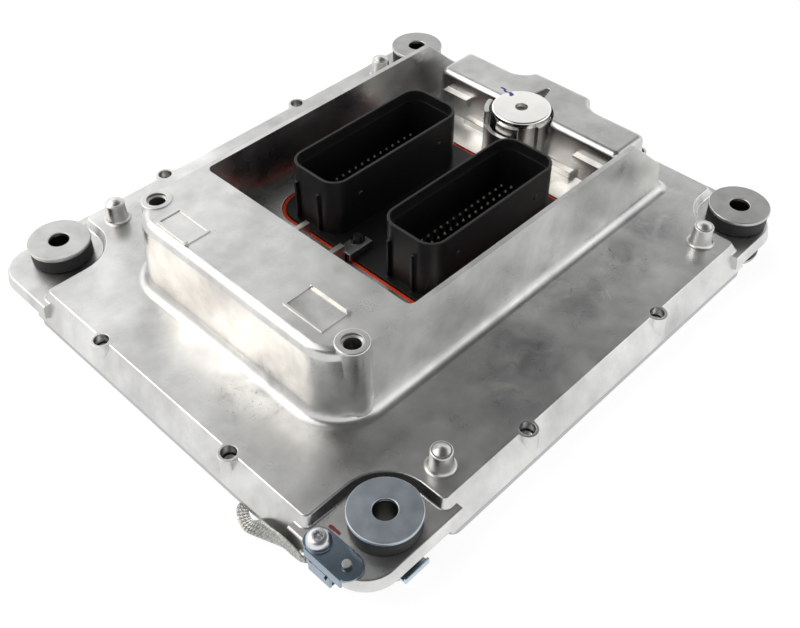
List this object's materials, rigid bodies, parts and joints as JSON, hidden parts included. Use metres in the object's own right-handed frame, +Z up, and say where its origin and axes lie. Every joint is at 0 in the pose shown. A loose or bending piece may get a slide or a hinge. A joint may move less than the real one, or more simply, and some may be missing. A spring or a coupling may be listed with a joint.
{
  "type": "engine control unit",
  "caption": "Engine control unit of a heavy diesel engine: die-cast aluminium housing on rubber isolators, with two black connector sockets in a deep pocket and a braided earth strap.",
  "frame": {"origin": "centre of the four isolator bolts, on the underside of the lower washers", "axes": "+X along the connector sockets, from the tall block towards the vent. +Z up, along the isolator bolts, towards the sockets' mouths. +Y completes the right-handed frame, away from the earth strap."},
  "size_m": [0.274, 0.2348, 0.0567],
  "materials": {
    "cast_aluminium": "bare die casting, mottled satin",
    "cover_sheet": "mill finish sheet",
    "gasket_rubber": "matt",
    "header_plastic": "fine satin moulding",
    "seal_rubber": "satin silicone rubber",
    "contact_metal": "plated",
    "vent_plate": "satin",
    "membrane_cloth": "fine matt",
    "washer_zinc": "zinc plated, satin",
    "washer_slate": "dark zinc plated, satin",
    "sleeve_steel": "turned",
    "grommet_rubber": "matt",
    "clamp_zinc": "blue zinc plated",
    "screw_steel": "zinc plated",
    "braid_tinned": "tinned copper braid",
    "terminal_zinc": "tinned",
    "board_laminate": "solder mask",
    "chip_moulding": "moulded package",
    "capacitor_can": "shrink sleeve",
    "coil_core": "coated core",
    "pad_silicone": "soft pad",
    "clip_steel": "spring steel"
  },
  "bodies": {
    "root": {"top_housing": "cast_aluminium", "base_cover": "cover_sheet", "cover_gasket": "gasket_rubber", "cover_screws": "screw_steel", "connector_header": "header_plastic", "header_seal": "seal_rubber", "contact_pins_near": "contact_metal", "contact_pins_far": "contact_metal", "vent_cap": "vent_plate", "vent_membrane": "membrane_cloth", "strap_clamp": "clamp_zinc", "strap_screw": "screw_steel", "ground_strap": "braid_tinned", "strap_terminal": "terminal_zinc", "circuit_board": "board_laminate", "board_screws": "screw_steel", "processor": "chip_moulding", "thermal_pad": "pad_silicone", "memory_chip": "chip_moulding", "driver_chips": "chip_moulding", "storage_capacitors": "capacitor_can", "storage_coil": "coil_core", "power_transistors": "chip_moulding", "transistor_clip": "clip_steel", "pressure_sensor": "chip_moulding", "upper_washer_1": "washer_slate", "upper_grommet_1": "grommet_rubber", "sleeve_1": "sleeve_steel", "lower_grommet_1": "grommet_rubber", "lower_washer_1": "washer_zinc", "upper_washer_2": "washer_zinc", "upper_grommet_2": "grommet_rubber", "sleeve_2": "sleeve_steel", "lower_grommet_2": "grommet_rubber", "lower_washer_2": "washer_zinc", "upper_washer_3": "washer_zinc", "upper_grommet_3": "grommet_rubber", "sleeve_3": "sleeve_steel", "lower_grommet_3": "grommet_rubber", "lower_washer_3": "washer_zinc", "upper_washer_4": "washer_zinc", "upper_grommet_4": "grommet_rubber", "sleeve_4": "sleeve_steel", "lower_grommet_4": "grommet_rubber", "lower_washer_4": "washer_zinc"}
  },
  "joints": []
}
